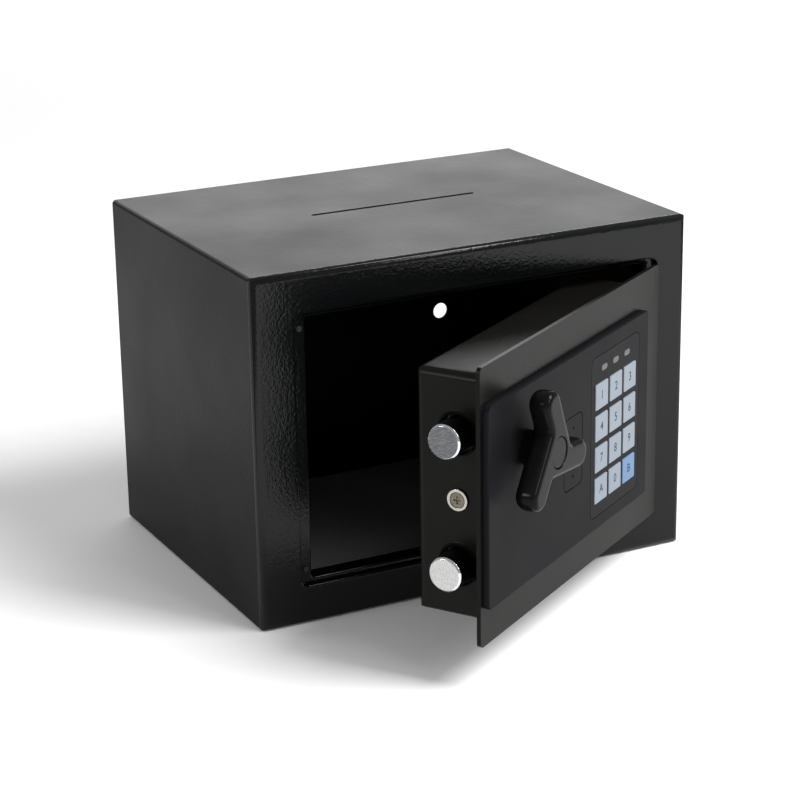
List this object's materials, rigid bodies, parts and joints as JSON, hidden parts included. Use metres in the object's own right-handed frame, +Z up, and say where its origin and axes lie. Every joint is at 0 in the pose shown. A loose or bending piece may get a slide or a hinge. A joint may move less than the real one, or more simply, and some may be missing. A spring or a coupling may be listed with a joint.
{
  "type": "coin bank safe",
  "caption": "Small black steel safe used as a coin bank: coin slot in the top, hinged door with keypad, three-finger handle and two locking bolts.",
  "frame": {"origin": "middle of the case's footprint, on its underside", "axes": "+Z up; the door faces -Y; its hinge is on the +X side"},
  "size_m": [0.23, 0.2801, 0.17],
  "materials": {
    "case_paint": "satin black powder coat, fine texture",
    "frame_paint": "gloss black powder coat with an orange-peel texture",
    "door_paint": "satin black powder coat",
    "panel_plastic": "charcoal ABS, fine satin texture",
    "handle_plastic": "black ABS, semi-gloss",
    "label_film": "dark grey polyester overlay",
    "key_grey": "pale grey-blue silicone",
    "key_blue": "light blue silicone",
    "lens_plastic": "frosted grey acrylic",
    "bolt_chrome": "chrome plated, turned end faces",
    "zinc_steel": "zinc plated sheet",
    "bright_steel": "turned and plated steel",
    "brass": "turned brass",
    "nylon": "natural nylon",
    "coil_tape": "winding under amber tape",
    "board_green": "green solder mask",
    "cable_grey": "grey ribbon cable",
    "inner_plastic": "black ABS",
    "battery_can": "printed can with no lettering",
    "bumper_rubber": "black rubber dots",
    "mat_felt": "dark grey needle felt",
    "button_red": "red ABS"
  },
  "bodies": {
    "case": {"case_shell": "case_paint", "back_panel": "case_paint", "front_frame": "frame_paint", "floor_mat": "mat_felt", "hinge_brackets": "zinc_steel", "hinge_pins": "bright_steel", "door_bumpers": "bumper_rubber"},
    "door": {"door_plate": "door_paint", "door_pan": "door_paint", "hinge_arms": "door_paint", "keypad_panel": "panel_plastic", "keypad_label": "label_film", "indicator_lenses": "lens_plastic", "lock_cap": "panel_plastic", "lock_housing": "zinc_steel", "bolt_bracket": "zinc_steel", "bolt_bushes": "nylon", "slide_posts": "bright_steel", "spindle_bush": "brass", "solenoid_frame": "zinc_steel", "solenoid_coil": "coil_tape", "main_board": "board_green", "keypad_board": "board_green", "ribbon_cable": "cable_grey", "battery_holder": "inner_plastic", "batteries": "battery_can", "battery_cover": "inner_plastic", "side_screw": "bolt_chrome", "screw_washer": "bolt_chrome", "panel_screws": "bright_steel"},
    "bolts": {"bolt_carriage": "zinc_steel", "upper_bolt": "bolt_chrome", "lower_bolt": "bolt_chrome", "bolt_screws": "bright_steel"},
    "handle": {"handle": "handle_plastic", "handle_cap": "handle_plastic", "handle_spindle": "bright_steel", "crank_disc": "zinc_steel", "crank_screw": "bright_steel"},
    "plunger": {"plunger": "bright_steel", "plunger_spring": "bright_steel"},
    "lock_core": {"lock_plug": "brass", "lock_tail": "zinc_steel"},
    "reset": {"reset_button": "button_red"},
    "key_1": {"key_1": "key_grey"},
    "key_2": {"key_2": "key_grey"},
    "key_3": {"key_3": "key_grey"},
    "key_4": {"key_4": "key_grey"},
    "key_5": {"key_5": "key_grey"},
    "key_6": {"key_6": "key_grey"},
    "key_7": {"key_7": "key_grey"},
    "key_8": {"key_8": "key_grey"},
    "key_9": {"key_9": "key_grey"},
    "key_a": {"key_a": "key_grey"},
    "key_0": {"key_0": "key_grey"},
    "key_b": {"key_b": "key_blue"}
  },
  "joints": [
    {"name": "door_swing", "type": "hinge", "parent": "case", "child": "door", "pos_m": [0.1005, -0.0805, 0.085], "axis": [0, 0, 1], "range_deg": [-33, 62]},
    {"name": "handle_turn", "type": "hinge", "parent": "door", "child": "handle", "pos_m": [-0.01824, -0.1749, 0.1015], "axis": [-0.5446, 0.8387, 0], "range_deg": [0, 60]},
    {"name": "bolt_slide", "type": "slide", "parent": "door", "child": "bolts", "axis": [0.8387, 0.5446, 0], "range_m": [0, 0.0125]},
    {"name": "plunger_slide", "type": "slide", "parent": "door", "child": "plunger", "axis": [0, 0, 1], "range_m": [-0.005, 0], "stiffness_N_per_m": 100, "deforming": ["plunger_spring"]},
    {"name": "lock_turn", "type": "hinge", "parent": "door", "child": "lock_core", "pos_m": [0.01456, -0.14168, 0.0845], "axis": [-0.5446, 0.8387, 0], "range_deg": [0, 90]},
    {"name": "reset_press", "type": "slide", "parent": "door", "child": "reset", "axis": [0.5446, -0.8387, 0], "range_m": [0, 0.0005], "stiffness_N_per_m": 400},
    {"name": "key_1_press", "type": "slide", "parent": "door", "child": "key_1", "axis": [-0.5446, 0.8387, 0], "range_m": [0, 0.0006], "stiffness_N_per_m": 500},
    {"name": "key_2_press", "type": "slide", "parent": "door", "child": "key_2", "axis": [-0.5446, 0.8387, 0], "range_m": [0, 0.0006], "stiffness_N_per_m": 500},
    {"name": "key_3_press", "type": "slide", "parent": "door", "child": "key_3", "axis": [-0.5446, 0.8387, 0], "range_m": [0, 0.0006], "stiffness_N_per_m": 500},
    {"name": "key_4_press", "type": "slide", "parent": "door", "child": "key_4", "axis": [-0.5446, 0.8387, 0], "range_m": [0, 0.0006], "stiffness_N_per_m": 500},
    {"name": "key_5_press", "type": "slide", "parent": "door", "child": "key_5", "axis": [-0.5446, 0.8387, 0], "range_m": [0, 0.0006], "stiffness_N_per_m": 500},
    {"name": "key_6_press", "type": "slide", "parent": "door", "child": "key_6", "axis": [-0.5446, 0.8387, 0], "range_m": [0, 0.0006], "stiffness_N_per_m": 500},
    {"name": "key_7_press", "type": "slide", "parent": "door", "child": "key_7", "axis": [-0.5446, 0.8387, 0], "range_m": [0, 0.0006], "stiffness_N_per_m": 500},
    {"name": "key_8_press", "type": "slide", "parent": "door", "child": "key_8", "axis": [-0.5446, 0.8387, 0], "range_m": [0, 0.0006], "stiffness_N_per_m": 500},
    {"name": "key_9_press", "type": "slide", "parent": "door", "child": "key_9", "axis": [-0.5446, 0.8387, 0], "range_m": [0, 0.0006], "stiffness_N_per_m": 500},
    {"name": "key_a_press", "type": "slide", "parent": "door", "child": "key_a", "axis": [-0.5446, 0.8387, 0], "range_m": [0, 0.0006], "stiffness_N_per_m": 500},
    {"name": "key_0_press", "type": "slide", "parent": "door", "child": "key_0", "axis": [-0.5446, 0.8387, 0], "range_m": [0, 0.0006], "stiffness_N_per_m": 500},
    {"name": "key_b_press", "type": "slide", "parent": "door", "child": "key_b", "axis": [-0.5446, 0.8387, 0], "range_m": [0, 0.0006], "stiffness_N_per_m": 500}
  ],
  "couplings": [
    {"joint": "handle_turn", "follows": "bolt_slide", "rad_per_m": 83.776}
  ]
}
